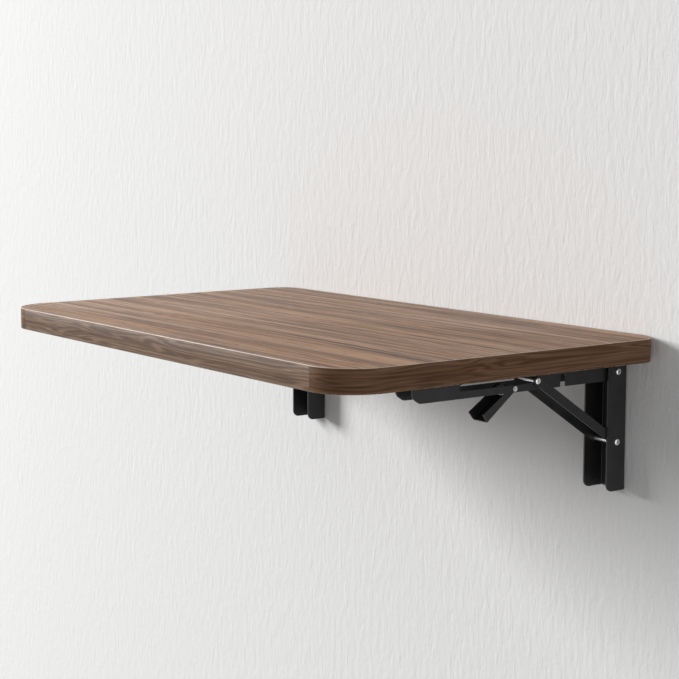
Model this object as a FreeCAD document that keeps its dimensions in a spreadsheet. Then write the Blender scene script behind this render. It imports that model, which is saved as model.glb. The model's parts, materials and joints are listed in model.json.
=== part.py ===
"""Wall mounted drop leaf table: a laminated leaf on two folding steel brackets.

Frame: the wall is the plane Y = 0 with the room towards -Y, X runs along the wall and Z is up.
The origin is the centre of the four wall bolt holes.
"""
import FreeCAD, Part
import math
import os
import Sketcher

doc = FreeCAD.newDocument("wall_mounted_drop_leaf_table")
sheet = doc.addObject("Spreadsheet::Sheet", "sizes")

# Driving dimensions, millimetres and degrees.
driving = (
    ("boardLength", "700", "leaf, along the wall"),
    ("boardDepth", "420", "leaf, away from the wall"),
    ("boardThickness", "25", "leaf, all layers"),
    ("laminateThickness", "0.8", "top and bottom laminate"),
    ("bandThickness", "1.2", "edge band"),
    ("frontCornerRadius", "50", "leaf corners on the room side"),
    ("backCornerRadius", "30", "leaf corners at the wall"),
    ("topEdgeBreak", "0.7", "softened top edge of the laminate"),
    ("wallGap", "1", "leaf to wall"),
    ("undersideHeight", "85", "leaf underside above the bolt centre"),
    ("bracketInset", "70", "bracket centre planes from the ends of the leaf"),
    ("sheetThickness", "1.6", "leg and arm sheet"),
    ("bendRadius", "2.2", "outside bend of leg and arm"),
    ("legWidth", "36", "wall leg, outside"),
    ("legDepth", "28", "wall leg, from the wall"),
    ("legDrop", "62", "wall leg below the bolt centre"),
    ("legRise", "13", "wall leg above the hinge axle"),
    ("legToeRadius", "8", "lower front corners of the leg"),
    ("legShoulderRadius", "10", "upper front corners of the leg"),
    ("boltSpacing", "80", "wall bolt holes, up the leg"),
    ("boltHoleRadius", "2.75", "wall bolt hole"),
    ("pivotDrop", "16.3", "hinge axle below the leaf underside"),
    ("pivotDepth", "13.5", "hinge and foot axles from the wall"),
    ("pivotSpacing", "77", "hinge axle to foot axle"),
    ("slideReach", "115.3", "hinge axle to slide axle, leaf up"),
    ("axleRadius", "2", "hinge and foot axles"),
    ("slideAxleRadius", "1.9", "slide axle and its rivets"),
    ("headRadius", "3.45", "axle and rivet heads"),
    ("headThickness", "1.6", "axle and rivet heads"),
    ("headBevel", "0.6", "bevel round the heads"),
    ("dimpleRadius", "1.8", "dimple in the heads"),
    ("dimpleDepth", "0.35", "dimple in the heads"),
    ("runningFit", "0.06", "radial, axle in a turning part"),
    ("sideGap", "0.3", "between parts that move past each other"),
    ("washerRadius", "5", "hinge washers, outside"),
    ("sleeveRadius", "2.6", "foot spacer sleeve, outside"),
    ("barThickness", "1.6", "brace bar sheet"),
    ("barRadius", "5", "half the brace bar width and its round ends"),
    ("barGap", "0.8", "brace bar to arm, room for the lever axle heads"),
    ("armDepth", "26", "arm, top to bottom"),
    ("armReach", "293", "arm front end from the wall"),
    ("armNoseDepth", "20", "upright part of the arm's front end"),
    ("armBevelRun", "9.3", "bevel under the arm's front end"),
    ("armNoseRadius", "8", "rounded ends of that bevel"),
    ("slotPlay", "0.3", "slide axle to the bottom and ends of the slot"),
    ("slotHeight", "7", "slot, top to bottom"),
    ("notchRadius", "3.9", "notch that clears the foot sleeve"),
    ("leverSheet", "1.2", "release lever sheet"),
    ("leverPlay", "0.4", "release lever to arm, each side"),
    ("leverPinDepth", "158", "lever axle from the wall"),
    ("leverPinDrop", "22.4", "lever axle below the leaf underside"),
    ("leverPinRadius", "1.6", "lever axle"),
    ("leverHeadRadius", "2.7", "flat heads of the lever axle"),
    ("leverHeadThickness", "0.5", "flat heads of the lever axle"),
    ("leverSlope", "38", "lever tail below level"),
    ("leverLength", "47", "lever axle to the end of the tail"),
    ("leverTailDepth", "11", "side plates at the tail"),
    ("leverNose", "12", "lever axle to the end of the nose"),
    ("leverClearance", "0.42", "lever under the slide axle"),
    ("leverBend", "2", "outside bend of the lever"),
    ("leverWebSetback", "9", "web from the heel of the lever"),
    ("leverNoseDepth", "4.4", "end of the nose, top to bottom"),
    ("springWire", "0.8", "lever spring wire"),
    ("springPlay", "0.25", "lever spring round its axle"),
    ("springLeg", "24", "lever spring leg along the tail"),
    ("screwRadius", "2", "leaf screw shank"),
    ("screwHeadRadius", "3.8", "leaf screw head"),
    ("screwHeadHeight", "2.2", "leaf screw head"),
    ("screwLength", "16", "leaf screw under its head"),
    ("screwPoint", "3", "tapered tip of the leaf screw"),
    ("screwFirst", "45", "rear leaf screw from the wall"),
    ("screwLast", "23", "front leaf screw from the front end of the arm"),
    ("screwPlay", "0.1", "radial, round the screw shanks"),
)
screwCount = 4
coilCount = 3

# What follows from them.
derived = (
    ("boardTop", "=undersideHeight + boardThickness"),
    ("coreBottom", "=undersideHeight + laminateThickness"),
    ("coreHeight", "=boardThickness - 2 * laminateThickness"),
    ("topLaminateBottom", "=boardTop - laminateThickness"),
    ("boardLeft", "=-boardLength / 2"),
    ("boardRight", "=boardLength / 2"),
    ("boardBack", "=-wallGap"),
    ("boardFront", "=-wallGap - boardDepth"),
    ("coreFront", "=boardFront + bandThickness"),
    ("coreFrontRadius", "=frontCornerRadius - bandThickness"),
    ("coreBackRadius", "=backCornerRadius - bandThickness"),
    ("frontBandLeft", "=boardLeft + frontCornerRadius"),
    ("frontBandRight", "=boardRight - frontCornerRadius"),
    ("backCornerLeft", "=boardLeft + backCornerRadius"),
    ("backCornerRight", "=boardRight - backCornerRadius"),
    ("backCornerY", "=boardBack - backCornerRadius"),
    ("frontCornerY", "=boardFront + frontCornerRadius"),
    ("frontGapOuter", "=boardFront - bandThickness"),
    ("frontGapInner", "=coreFront + bandThickness"),
    ("pivotY", "=-pivotDepth"),
    ("pivotZ", "=undersideHeight - pivotDrop"),
    ("footZ", "=pivotZ - pivotSpacing"),
    ("slideRestY", "=pivotY - slideReach"),
    ("braceLength", "=sqrt(slideReach ^ 2 + pivotSpacing ^ 2)"),
    ("slideEndY", "=pivotY - pivotSpacing - braceLength"),
    ("legHalf", "=legWidth / 2"),
    ("legInner", "=legHalf - sheetThickness"),
    ("barOuter", "=legInner - sideGap"),
    ("barInner", "=barOuter - barThickness"),
    ("armHalf", "=barInner - barGap"),
    ("armInner", "=armHalf - sheetThickness"),
    ("leverHalf", "=armInner - leverPlay"),
    ("leverInner", "=leverHalf - leverSheet"),
    ("innerBend", "=bendRadius - sheetThickness"),
    ("legTop", "=pivotZ + legRise"),
    ("legBottom", "=-legDrop"),
    ("wallPlane", "=0"),
    ("centre", "=0"),
    ("legFront", "=-legDepth"),
    ("legWebFront", "=-sheetThickness"),
    ("legCutFront", "=-2 * legDepth"),
    ("legCutTop", "=legTop + legDepth"),
    ("legCutBottom", "=legBottom - legDepth"),
    ("boltHigh", "=boltSpacing / 2"),
    ("boltLow", "=-boltSpacing / 2"),
    ("armBottom", "=undersideHeight - armDepth"),
    ("armHeelRadius", "=armDepth - pivotDrop"),
    ("armRear", "=pivotY + armHeelRadius"),
    ("armFront", "=-armReach"),
    ("armNoseZ", "=undersideHeight - armNoseDepth"),
    ("armBevelY", "=armFront + armBevelRun"),
    ("armWebBottom", "=undersideHeight - sheetThickness"),
    ("armCutRear", "=armRear + armDepth"),
    ("armCutFront", "=armFront - armDepth"),
    ("armCutBottom", "=armBottom - armDepth"),
    ("slotRadius", "=slotHeight / 2"),
    ("slotZ", "=pivotZ - slideAxleRadius - slotPlay + slotRadius"),
    ("notchY", "=pivotY - pivotSpacing"),
    ("notchLowZ", "=armBottom - notchRadius"),
    ("axleHoleRadius", "=axleRadius + runningFit"),
    ("rivetHoleRadius", "=slideAxleRadius + runningFit"),
    ("leverPinHoleRadius", "=leverPinRadius + runningFit"),
    ("leverPinY", "=-leverPinDepth"),
    ("leverPinZ", "=undersideHeight - leverPinDrop"),
    ("legOuterHead", "=legHalf + headThickness"),
    ("legHeadDimple", "=legOuterHead - dimpleDepth"),
    ("rivetOuter", "=barOuter + headThickness"),
    ("rivetDimple", "=rivetOuter - dimpleDepth"),
    ("washerInnerX", "=armHalf + sideGap"),
    ("washerThickness", "=legInner - armHalf - 2 * sideGap"),
    ("sleeveHalf", "=barInner - sideGap"),
    ("leverHeadX", "=armHalf + leverHeadThickness"),
    ("leverHeadDimple", "=leverHeadX - dimpleDepth"),
    ("leverTopZ", "=pivotZ - slideAxleRadius - leverClearance"),
    ("leverNoseY", "=leverPinY + leverNose"),
    ("leverNoseZ", "=leverTopZ - leverNoseDepth"),
    ("leverHeel", "=leverPinRadius + springPlay + springWire + sideGap + leverSheet"),
    ("leverEndLowY", "=leverPinY - leverLength * cos(leverSlope) + leverHeel * sin(leverSlope)"),
    ("leverEndLowZ", "=leverPinZ - leverLength * sin(leverSlope) - leverHeel * cos(leverSlope)"),
    ("leverEndHighY", "=leverEndLowY - leverTailDepth * sin(leverSlope)"),
    ("leverEndHighZ", "=leverEndLowZ + leverTailDepth * cos(leverSlope)"),
    ("leverHeelY", "=leverPinY + leverHeel * sin(leverSlope)"),
    ("leverHeelZ", "=leverPinZ - leverHeel * cos(leverSlope)"),
    ("leverWebLowY", "=leverEndLowY - leverTailDepth * cos(leverSlope) - leverSheet * sin(leverSlope)"),
    ("leverWebLowZ", "=leverEndLowZ - leverTailDepth * sin(leverSlope) + leverSheet * cos(leverSlope)"),
    ("leverWebHeelY", "=leverHeelY - leverWebSetback * cos(leverSlope)"),
    ("leverWebHeelZ", "=leverHeelZ - leverWebSetback * sin(leverSlope)"),
    ("leverWebHighY", "=leverWebHeelY - leverSheet * sin(leverSlope)"),
    ("leverWebHighZ", "=leverWebHeelZ + leverSheet * cos(leverSlope)"),
    ("leverWebEndY", "=leverWebHeelY + leverTailDepth * sin(leverSlope)"),
    ("leverWebEndZ", "=leverWebHeelZ - leverTailDepth * cos(leverSlope)"),
    ("leverInnerBend", "=leverBend - leverSheet"),
    ("leverCutRearY", "=leverNoseY + leverTailDepth"),
    ("leverCutTopZ", "=leverTopZ + leverTailDepth"),
    ("leverCutFrontY", "=leverEndHighY - leverTailDepth"),
    ("springInner", "=leverPinRadius + springPlay"),
    ("springOuter", "=springInner + springWire"),
    ("springValley", "=springInner + springWire / 2"),
    ("springWireRadius", "=springWire / 2"),
    ("screwHeadTop", "=armWebBottom"),
    ("screwHeadBottom", "=armWebBottom - screwHeadHeight"),
    ("screwTip", "=armWebBottom + screwLength"),
    ("screwTaper", "=screwTip - screwPoint"),
    ("screwHoleRadius", "=screwRadius + screwPlay"),
    ("screwRearY", "=-screwFirst"),
    ("screwPitch", f"=(armReach - screwFirst - screwLast) / {screwCount - 1}"),
    ("bracketSpacing", "=boardLength - 2 * bracketInset"),
) + tuple(
    (f"coilEdge{turn}", f"=({turn} - {coilCount} / 2) * springWire")
    for turn in range(coilCount + 1)
) + tuple(
    (f"coilCrest{turn}", f"=({turn} + 0.5 - {coilCount} / 2) * springWire")
    for turn in range(coilCount)
)


def fill_sheet():
    rows = [(alias, text) for alias, text, note in driving] + list(derived)
    for row, (alias, text) in enumerate(rows, start=1):
        sheet.set(f"A{row}", alias)
        sheet.set(f"B{row}", text)
        sheet.setAlias(f"B{row}", alias)
    for row, (alias, text, note) in enumerate(driving, start=1):
        sheet.set(f"C{row}", note)
    doc.recompute()


def size(alias):
    """The number in a cell; a minus sign in front of its name turns it round."""
    sign = -1.0 if alias.startswith("-") else 1.0
    return sign * float(sheet.get(alias.lstrip("-")))


def cell(alias):
    """The same value as an expression that stays tied to the sheet."""
    return "-sizes." + alias[1:] if alias.startswith("-") else "sizes." + alias


# Sketches ------------------------------------------------------------------------------------

def new_body(label, x=None, y=None, z=None):
    body = doc.addObject("PartDesign::Body", label)
    body.Label = label
    body.AllowCompound = True
    for axis, alias in (("x", x), ("y", y), ("z", z)):
        if alias:
            body.setExpression(f"Placement.Base.{axis}", alias)
    return body


def origin_part(body, role):
    return next(item for item in body.Origin.OriginFeatures if item.Role == role)


def new_sketch(body, name, role, offset=None):
    sketch = body.newObject("Sketcher::SketchObject", name)
    sketch.AttachmentSupport = [(origin_part(body, role), "")]
    sketch.MapMode = "FlatFace"
    if offset:
        sketch.setExpression("AttachmentOffset.Base.z", cell(offset))
    return sketch


def tie(sketch, kind, references, alias):
    index = sketch.addConstraint(Sketcher.Constraint(kind, *references, size(alias)))
    sketch.setExpression(f"Constraints[{index}]", cell(alias))


def tie_point(sketch, geometry, position, across, up):
    tie(sketch, "DistanceX", (-1, 1, geometry, position), across)
    tie(sketch, "DistanceY", (-1, 1, geometry, position), up)


def draw_outline(sketch, corners):
    """A closed outline of straight lines; each corner is a pair of cell names."""
    points = [FreeCAD.Vector(size(across), size(up), 0) for across, up in corners]
    count = len(points)
    first = sketch.GeometryCount
    for i in range(count):
        sketch.addGeometry(Part.LineSegment(points[i], points[(i + 1) % count]), False)
    for i, (across, up) in enumerate(corners):
        previous = first + (i - 1) % count
        sketch.addConstraint(Sketcher.Constraint("Coincident", previous, 2, first + i, 1))
        tie_point(sketch, first + i, 1, across, up)


def draw_circle(sketch, across, up, radius):
    centre = FreeCAD.Vector(size(across), size(up), 0)
    circle = sketch.addGeometry(Part.Circle(centre, FreeCAD.Vector(0, 0, 1), size(radius)), False)
    tie_point(sketch, circle, 3, across, up)
    tie(sketch, "Radius", (circle,), radius)


def draw_slot(sketch, start, end, radius):
    """A long hole or bar with round ends between two centres."""
    a = FreeCAD.Vector(size(start[0]), size(start[1]), 0)
    b = FreeCAD.Vector(size(end[0]), size(end[1]), 0)
    reach = size(radius)
    along = math.atan2(b.y - a.y, b.x - a.x)
    side = FreeCAD.Vector(-math.sin(along), math.cos(along), 0) * reach
    normal = FreeCAD.Vector(0, 0, 1)
    quarter = math.pi / 2
    rear = sketch.addGeometry(Part.ArcOfCircle(
        Part.Circle(a, normal, reach), along + quarter, along + 3 * quarter), False)
    front = sketch.addGeometry(Part.ArcOfCircle(
        Part.Circle(b, normal, reach), along - quarter, along + quarter), False)
    low = sketch.addGeometry(Part.LineSegment(a - side, b - side), False)
    high = sketch.addGeometry(Part.LineSegment(b + side, a + side), False)
    for line, line_end, arc, arc_end in ((low, 1, rear, 2), (low, 2, front, 1),
                                         (high, 1, front, 2), (high, 2, rear, 1)):
        sketch.addConstraint(Sketcher.Constraint("Tangent", line, line_end, arc, arc_end))
    sketch.addConstraint(Sketcher.Constraint("Equal", rear, front))
    tie_point(sketch, rear, 3, *start)
    tie_point(sketch, front, 3, *end)
    tie(sketch, "Radius", (rear,), radius)


# Features ------------------------------------------------------------------------------------

def pad(body, sketch, length, symmetric=False, back=False):
    feature = body.newObject("PartDesign::Pad", sketch.Name + "_pad")
    feature.Profile = sketch
    feature.Midplane = symmetric
    feature.Reversed = back
    feature.setExpression("Length", length)
    doc.recompute()
    return feature


def pocket(body, sketch, length=None, symmetric=False, back=False):
    """Cut a sketch out of the body, and make sure that it took something away."""
    before = body.Shape.Volume
    feature = body.newObject("PartDesign::Pocket", sketch.Name + "_cut")
    feature.Profile = sketch
    feature.Midplane = symmetric
    feature.Reversed = back
    if length:
        feature.setExpression("Length", length)
    else:
        feature.Type = "ThroughAll"
    doc.recompute()
    if not feature.Shape.Volume < before - 1e-6:
        raise RuntimeError(feature.Name + " cuts nothing")
    return feature


def revolve(body, sketch, axis):
    feature = body.newObject("PartDesign::Revolution", sketch.Name + "_turned")
    feature.Profile = sketch
    feature.ReferenceAxis = (sketch, [axis])
    feature.Angle = 360
    doc.recompute()
    return feature


def edges_where(shape, test):
    return [f"Edge{i}" for i, edge in enumerate(shape.Edges, start=1) if test(edge)]


def line_through(across, up, first, second):
    """Picks the straight edges that cross the plane of two axes at a point."""
    def test(edge):
        straight = edge.Curve.TypeId == "Part::GeomLine"
        return straight and all(
            math.hypot(getattr(vertex.Point, first) - across,
                       getattr(vertex.Point, second) - up) < 1e-4
            for vertex in edge.Vertexes)
    return test


def round_edges(body, name, corners, radius, first, second, kind="Fillet"):
    """Round or bevel the edges that run through the given corners."""
    base = body.Tip
    local = base.Shape
    names = []
    for across, up in corners:
        found = edges_where(local, line_through(size(across), size(up), first, second))
        names += [edge for edge in found if edge not in names]
    feature = body.newObject("PartDesign::" + kind, name)
    feature.Base = (base, names)
    feature.setExpression("Radius" if kind == "Fillet" else "Size", cell(radius))
    doc.recompute()
    return feature


def slanted_line(half, along, up):
    """Picks the edges at both sides that run down the lever's tail through a point."""
    slope = math.radians(size("leverSlope"))

    def test(edge):
        ends = [vertex.Point for vertex in edge.Vertexes]
        return (edge.Curve.TypeId == "Part::GeomLine"
                and abs(ends[0].x - ends[-1].x) < 1e-4
                and all(abs(abs(end.x) - half) < 1e-4
                        and abs((end.y - along) * math.sin(slope)
                                - (end.z - up) * math.cos(slope)) < 1e-4 for end in ends))
    return test


def round_tail(body, name, half, along, up, radius):
    """Round the two bends between the lever's web and its plates."""
    base = body.Tip
    feature = body.newObject("PartDesign::Fillet", name)
    feature.Base = (base, edges_where(base.Shape,
                                      slanted_line(size(half), size(along), size(up))))
    feature.setExpression("Radius", cell(radius))
    doc.recompute()


def bevel_heads(body, name, faces):
    """Bevel the outer rim of each axle head; faces are the head ends along X."""
    base = body.Tip
    rim = size("headRadius")

    def test(edge):
        curve = edge.Curve
        return (curve.TypeId == "Part::GeomCircle" and abs(curve.Radius - rim) < 1e-4
                and any(abs(curve.Center.x - size(face)) < 1e-4 for face in faces))
    feature = body.newObject("PartDesign::Chamfer", name)
    feature.Base = (base, edges_where(base.Shape, test))
    feature.setExpression("Size", cell("headBevel"))
    doc.recompute()


def mirror_across(body, name, feature):
    """The same feature again on the other side of the bracket's centre plane."""
    mirror = body.newObject("PartDesign::Mirrored", name)
    mirror.Originals = [feature]
    mirror.MirrorPlane = (origin_part(body, "YZ_Plane"), [""])
    body.Tip = mirror
    doc.recompute()


# Leaf ----------------------------------------------------------------------------------------

def draw_board(sketch, front_radius, back_radius):
    """The leaf's outline: four corner arcs about fixed centres, joined by tangent lines."""
    normal = FreeCAD.Vector(0, 0, 1)
    quarter = math.pi / 2
    corners = (("backCornerRight", "backCornerY", back_radius),
               ("backCornerLeft", "backCornerY", back_radius),
               ("frontBandLeft", "frontCornerY", front_radius),
               ("frontBandRight", "frontCornerY", front_radius))
    arcs = []
    for turn, (across, up, radius) in enumerate(corners):
        circle = Part.Circle(FreeCAD.Vector(size(across), size(up), 0), normal, size(radius))
        arc = Part.ArcOfCircle(circle, turn * quarter, (turn + 1) * quarter)
        arcs.append(sketch.addGeometry(arc, False))
    for i, arc in enumerate(arcs):
        following = arcs[(i + 1) % 4]
        line = sketch.addGeometry(Part.LineSegment(
            sketch.getPoint(arc, 2), sketch.getPoint(following, 1)), False)
        sketch.addConstraint(Sketcher.Constraint("Tangent", line, 1, arc, 2))
        sketch.addConstraint(Sketcher.Constraint("Tangent", line, 2, following, 1))
    for arc, (across, up, radius) in zip(arcs, corners):
        tie_point(sketch, arc, 3, across, up)
        tie(sketch, "Radius", (arc,), radius)


def slab(label, radii, bottom, height):
    """A flat board with the leaf's rounded corners."""
    body = new_body(label)
    sketch = new_sketch(body, label + "_outline", "XY_Plane", bottom)
    draw_board(sketch, *radii)
    pad(body, sketch, cell(height))
    return body


def drill_for_screws(body, name, bottom):
    """The pilot holes of both rows of leaf screws, blind or through."""
    for side in sides:
        for number in range(screwCount):
            sketch = new_sketch(body, f"{name}_{side}_{number}", "XY_Plane", bottom)
            circle = sketch.addGeometry(Part.Circle(
                FreeCAD.Vector(sides[side] * size("bracketSpacing") / 2,
                               size("screwRearY") - number * size("screwPitch"), 0),
                FreeCAD.Vector(0, 0, 1), size("screwHoleRadius")), False)
            across = sketch.addConstraint(Sketcher.Constraint(
                "DistanceX", -1, 1, circle, 3, sides[side] * size("bracketSpacing") / 2))
            along = sketch.addConstraint(Sketcher.Constraint(
                "DistanceY", -1, 1, circle, 3,
                size("screwRearY") - number * size("screwPitch")))
            sketch.setExpression(f"Constraints[{across}]",
                                 f"{sides[side]} * sizes.bracketSpacing / 2")
            sketch.setExpression(f"Constraints[{along}]",
                                 f"sizes.screwRearY - {number} * sizes.screwPitch")
            tie(sketch, "Radius", (circle,), "screwHoleRadius")
            pocket(body, sketch, "sizes.screwTip - sizes.undersideHeight", back=True)


def build_leaf():
    outer = ("frontCornerRadius", "backCornerRadius")
    inner = ("coreFrontRadius", "coreBackRadius")

    core = slab("board_core", inner, "coreBottom", "coreHeight")
    drill_for_screws(core, "core_pilot", "coreBottom")

    below = slab("bottom_laminate", outer, "undersideHeight", "laminateThickness")
    drill_for_screws(below, "laminate_pilot", "undersideHeight")

    above = slab("top_laminate", outer, "topLaminateBottom", "laminateThickness")
    soften_top(above)

    build_edge_bands(outer, inner)


def soften_top(body):
    base = body.Tip
    top = size("boardTop")

    def test(edge):
        return all(abs(vertex.Point.z - top) < 1e-4 for vertex in edge.Vertexes)
    feature = body.newObject("PartDesign::Fillet", "top_edge_break")
    feature.Base = (base, edges_where(base.Shape, test))
    feature.setExpression("Radius", "sizes.topEdgeBreak")
    doc.recompute()


def build_edge_bands(outer, inner):
    """One strip along the front, and one round the corners, ends and back."""
    wrap = slab("side_edge_band", outer, "coreBottom", "coreHeight")
    hollow = new_sketch(wrap, "band_hollow", "XY_Plane", "coreBottom")
    draw_board(hollow, *inner)
    pocket(wrap, hollow, "sizes.coreHeight", back=True)
    opening = new_sketch(wrap, "band_front_gap", "XY_Plane", "coreBottom")
    draw_outline(opening, (("frontBandLeft", "frontGapOuter"), ("frontBandRight", "frontGapOuter"),
                           ("frontBandRight", "frontGapInner"), ("frontBandLeft", "frontGapInner")))
    pocket(wrap, opening, "sizes.coreHeight", back=True)

    front_band = new_body("front_edge_band")
    sketch = new_sketch(front_band, "front_band_outline", "XY_Plane", "coreBottom")
    draw_outline(sketch, (("frontBandLeft", "boardFront"), ("frontBandRight", "boardFront"),
                          ("frontBandRight", "coreFront"), ("frontBandLeft", "coreFront")))
    pad(front_band, sketch, "sizes.coreHeight")


# Brackets ------------------------------------------------------------------------------------

def drill_across(body, name, holes):
    """Round holes straight through along X; each is a centre and a radius."""
    sketch = new_sketch(body, name, "YZ_Plane")
    for across, up, radius in holes:
        draw_circle(sketch, across, up, radius)
    pocket(body, sketch, "3 * sizes.legWidth", symmetric=True)


def build_leg(side, shift):
    """The channel on the wall, with its back web drilled for the wall bolts."""
    leg = new_body(side + "_wall_leg", x=shift)
    profile = new_sketch(leg, side + "_leg_profile", "YZ_Plane")
    draw_outline(profile, (("wallPlane", "legBottom"), ("legFront", "legBottom"),
                           ("legFront", "legTop"), ("wallPlane", "legTop")))
    pad(leg, profile, "sizes.legWidth", symmetric=True)
    round_edges(leg, side + "_leg_toe", (("legFront", "legBottom"),), "legToeRadius", "y", "z")
    round_edges(leg, side + "_leg_shoulder", (("legFront", "legTop"),),
                "legShoulderRadius", "y", "z")
    inside = new_sketch(leg, side + "_leg_inside", "YZ_Plane")
    draw_outline(inside, (("legWebFront", "legCutBottom"), ("legCutFront", "legCutBottom"),
                          ("legCutFront", "legCutTop"), ("legWebFront", "legCutTop")))
    pocket(leg, inside, "2 * sizes.legInner", symmetric=True)
    round_edges(leg, side + "_leg_bend", (("-legHalf", "wallPlane"), ("legHalf", "wallPlane")),
                "bendRadius", "x", "y")
    round_edges(leg, side + "_leg_inner_bend",
                (("-legInner", "legWebFront"), ("legInner", "legWebFront")),
                "innerBend", "x", "y")
    drill_across(leg, side + "_leg_axle_holes", (("pivotY", "pivotZ", "axleHoleRadius"),
                                                 ("pivotY", "footZ", "axleHoleRadius")))
    bolts = new_sketch(leg, side + "_leg_bolt_holes", "XZ_Plane")
    draw_circle(bolts, "centre", "boltHigh", "boltHoleRadius")
    draw_circle(bolts, "centre", "boltLow", "boltHoleRadius")
    pocket(leg, bolts, "3 * sizes.sheetThickness", back=True)


def build_arm(side, shift):
    """The slotted channel under the leaf that the slide axle runs in."""
    arm = new_body(side + "_arm", x=shift)
    profile = new_sketch(arm, side + "_arm_profile", "YZ_Plane")
    draw_outline(profile, (("armRear", "undersideHeight"), ("armRear", "armBottom"),
                           ("armBevelY", "armBottom"), ("armFront", "armNoseZ"),
                           ("armFront", "undersideHeight")))
    pad(arm, profile, "2 * sizes.armHalf", symmetric=True)
    round_edges(arm, side + "_arm_heel", (("armRear", "armBottom"),),
                "armHeelRadius", "y", "z")
    round_edges(arm, side + "_arm_nose", (("armFront", "armNoseZ"), ("armBevelY", "armBottom")),
                "armNoseRadius", "y", "z")
    inside = new_sketch(arm, side + "_arm_inside", "YZ_Plane")
    draw_outline(inside, (("armCutRear", "armWebBottom"), ("armCutRear", "armCutBottom"),
                          ("armCutFront", "armCutBottom"), ("armCutFront", "armWebBottom")))
    pocket(arm, inside, "2 * sizes.armInner", symmetric=True)
    round_edges(arm, side + "_arm_bend",
                (("-armHalf", "undersideHeight"), ("armHalf", "undersideHeight")),
                "bendRadius", "x", "z")
    round_edges(arm, side + "_arm_inner_bend",
                (("-armInner", "armWebBottom"), ("armInner", "armWebBottom")),
                "innerBend", "x", "z")
    drill_across(arm, side + "_arm_axle_holes",
                 (("pivotY", "pivotZ", "axleHoleRadius"),
                  ("leverPinY", "leverPinZ", "leverPinHoleRadius")))
    for name, start, end, radius in (
            ("slot", ("slideEndY", "slotZ"), ("slideRestY", "slotZ"), "slotRadius"),
            ("notch", ("notchY", "notchLowZ"), ("notchY", "pivotZ"), "notchRadius")):
        sketch = new_sketch(arm, f"{side}_arm_{name}", "YZ_Plane")
        draw_slot(sketch, start, end, radius)
        pocket(arm, sketch, "3 * sizes.legWidth", symmetric=True)
    for number in range(screwCount):
        sketch = new_sketch(arm, f"{side}_arm_screw_hole_{number}", "XY_Plane", "armWebBottom")
        along = size("screwRearY") - number * size("screwPitch")
        circle = sketch.addGeometry(Part.Circle(
            FreeCAD.Vector(0, along, 0), FreeCAD.Vector(0, 0, 1), size("screwHoleRadius")), False)
        sketch.addConstraint(Sketcher.Constraint("PointOnObject", circle, 3, -2))
        index = sketch.addConstraint(Sketcher.Constraint("DistanceY", -1, 1, circle, 3, along))
        sketch.setExpression(f"Constraints[{index}]",
                             f"sizes.screwRearY - {number} * sizes.screwPitch")
        tie(sketch, "Radius", (circle,), "screwHoleRadius")
        pocket(arm, sketch, "sizes.sheetThickness", back=True)


def build_bars(side, shift):
    """Two flat brace bars, outside the arm and inside the leg."""
    for place, offset in (("right", "barInner"), ("left", "-barOuter")):
        bar = new_body(f"{side}_brace_bar_{place}", x=shift)
        outline = new_sketch(bar, f"{bar.Name}_outline", "YZ_Plane", offset)
        draw_slot(outline, ("slideRestY", "pivotZ"), ("pivotY", "footZ"), "barRadius")
        pad(bar, outline, "sizes.barThickness")
        drill_across(bar, f"{bar.Name}_holes", (("slideRestY", "pivotZ", "rivetHoleRadius"),
                                                ("pivotY", "footZ", "axleHoleRadius")))


def build_axle(label, shift, along, up, half, radius, head_radius, head_end, dimple, bevelled):
    """A pin along X with a head outside each plate that it goes through."""
    axle = new_body(label, x=shift, y=cell(along), z=cell(up))
    sketch = new_sketch(axle, label + "_profile", "XY_Plane")
    zero = "centre"
    draw_outline(sketch, (("-" + dimple, zero), ("-" + head_end, "dimpleRadius"),
                          ("-" + head_end, head_radius),
                          ("-" + half, head_radius), ("-" + half, radius),
                          (half, radius), (half, head_radius), (head_end, head_radius),
                          (head_end, "dimpleRadius"), (dimple, zero)))
    revolve(axle, sketch, "H_Axis")
    if bevelled:
        bevel_heads(axle, label + "_bevels", ("-" + head_end, head_end))


def build_tube(label, shift, along, up, start, length, radius, bore, both):
    """A washer or sleeve round an axle, once or once on each side."""
    tube = new_body(label, x=shift, y=cell(along), z=cell(up))
    zero = "centre"
    sketch = new_sketch(tube, label + "_ring", "YZ_Plane", start)
    draw_circle(sketch, zero, zero, radius)
    draw_circle(sketch, zero, zero, bore)
    ring = pad(tube, sketch, length)
    if both:
        mirror_across(tube, label + "_other_side", ring)


def build_rivets(side, shift):
    """The two rivets that close the brace bars over the slide axle."""
    label = side + "_brace_rivets"
    rivets = new_body(label, x=shift, y="sizes.slideRestY", z="sizes.pivotZ")
    sketch = new_sketch(rivets, label + "_profile", "XY_Plane")
    zero = "centre"
    draw_outline(sketch, (("barInner", zero), ("barInner", "slideAxleRadius"),
                          ("barOuter", "slideAxleRadius"), ("barOuter", "headRadius"),
                          ("rivetOuter", "headRadius"), ("rivetOuter", "dimpleRadius"),
                          ("rivetDimple", zero)))
    turned = revolve(rivets, sketch, "H_Axis")
    bevel_heads(rivets, label + "_bevel", ("rivetOuter",))
    bevel = rivets.Tip
    mirror = rivets.newObject("PartDesign::Mirrored", label + "_other_side")
    mirror.Originals = [turned, bevel]
    mirror.MirrorPlane = (origin_part(rivets, "YZ_Plane"), [""])
    rivets.Tip = mirror
    doc.recompute()


def build_slide_axle(side, shift):
    label = side + "_slide_axle"
    axle = new_body(label, x=shift, y="sizes.slideRestY", z="sizes.pivotZ")
    sketch = new_sketch(axle, label + "_circle", "YZ_Plane")
    draw_circle(sketch, "centre", "centre", "slideAxleRadius")
    pad(axle, sketch, "2 * sizes.sleeveHalf", symmetric=True)


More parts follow.
